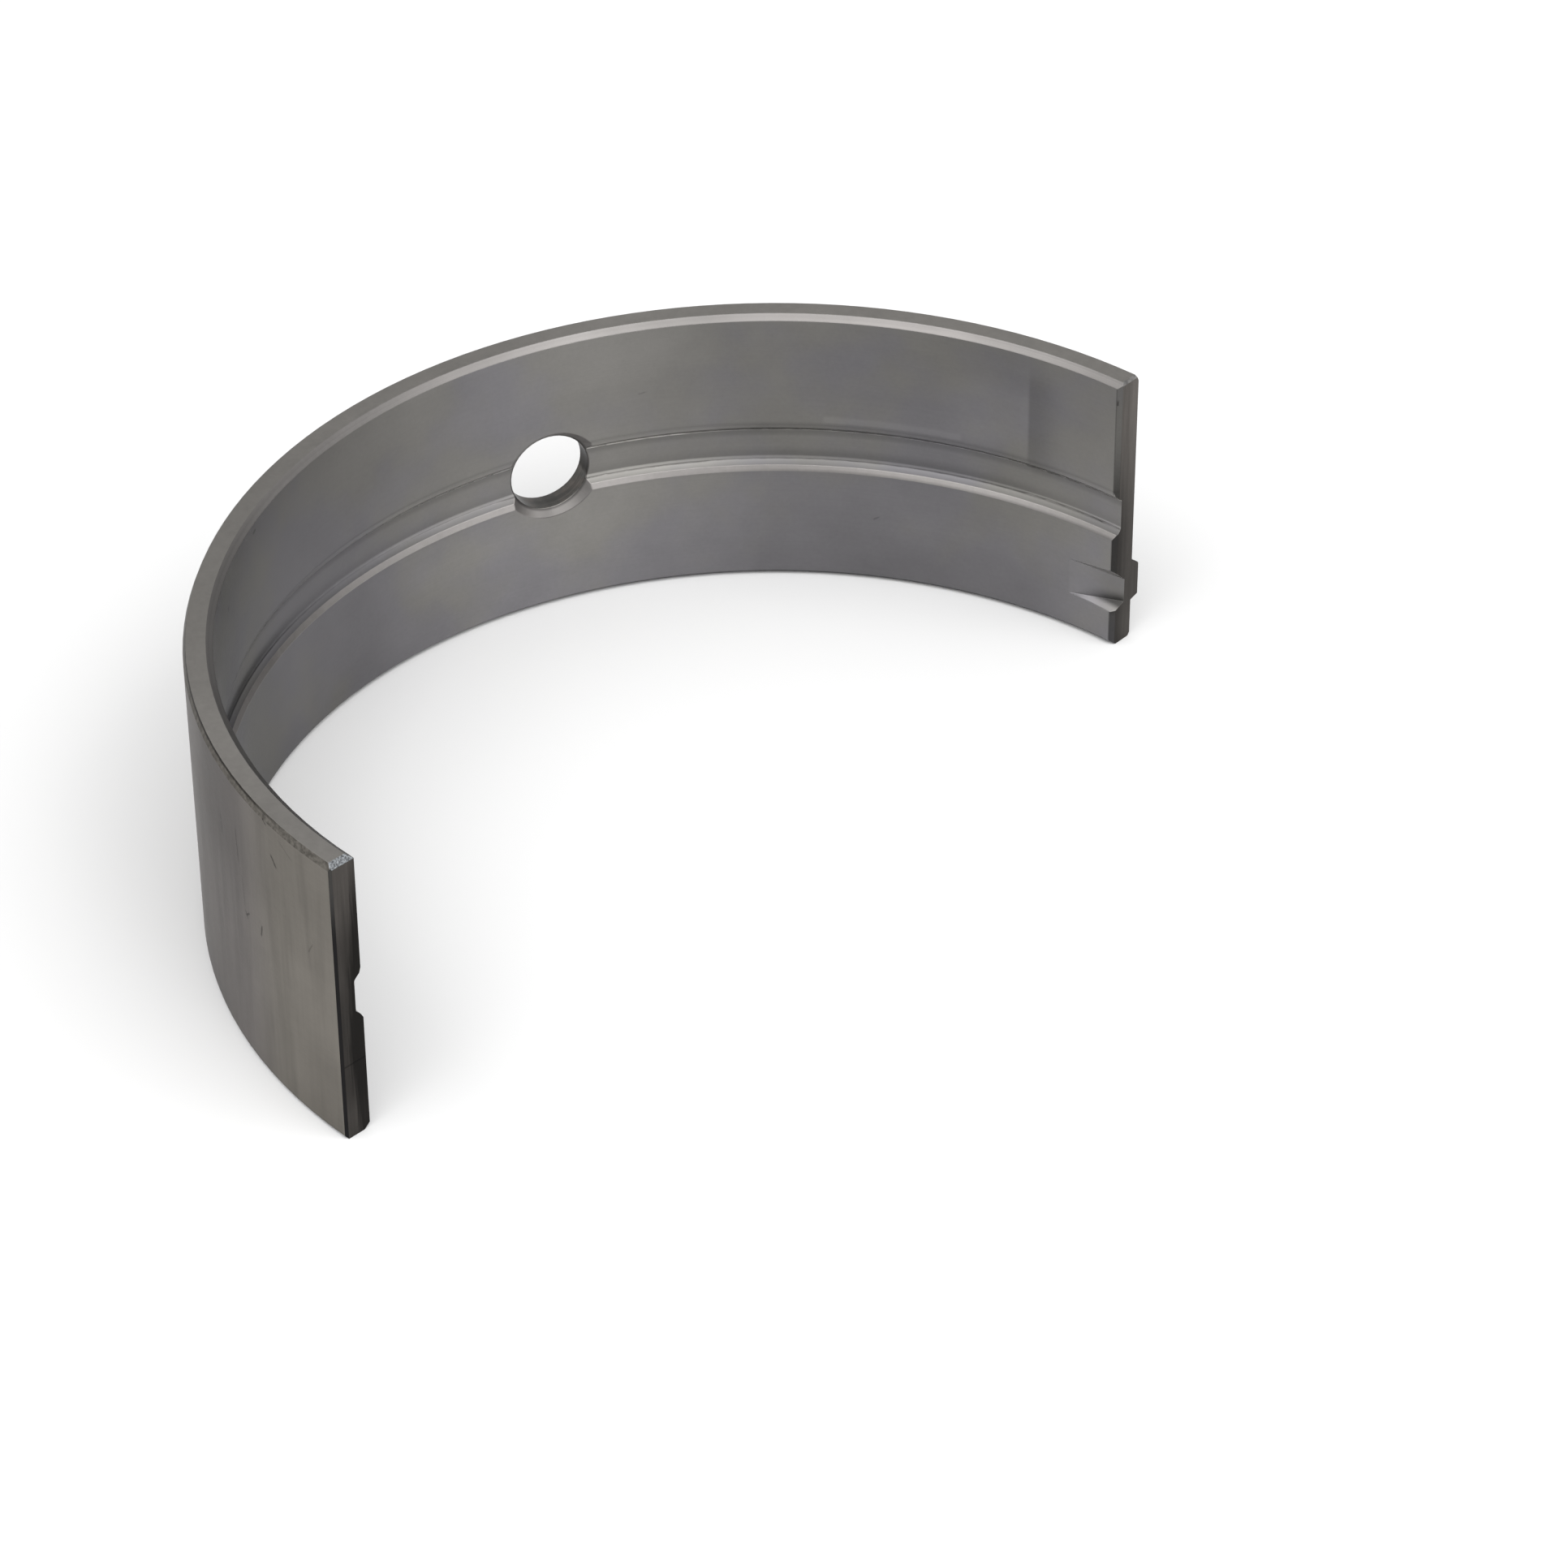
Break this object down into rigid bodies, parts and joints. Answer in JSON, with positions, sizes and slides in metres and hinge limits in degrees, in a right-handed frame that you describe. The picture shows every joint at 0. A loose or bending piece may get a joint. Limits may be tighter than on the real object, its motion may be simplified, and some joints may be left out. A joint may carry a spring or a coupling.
{
  "type": "engine bearing shell",
  "caption": "Half-round main bearing shell with a full-length oil groove, an oil feed hole and a locating lug.",
  "frame": {"origin": "on the bearing's axis, in the plane of the lower end face that the shell stands on", "axes": "+Z along the bearing's axis, up from the lower end face; +Y to the crown of the shell; +X to the parting face that has the locating lug"},
  "size_m": [0.1172, 0.0564, 0.0334],
  "materials": {
    "bearing_steel": "satin, finely machined"
  },
  "bodies": {
    "root": {"bearing_shell": "bearing_steel"}
  },
  "joints": []
}
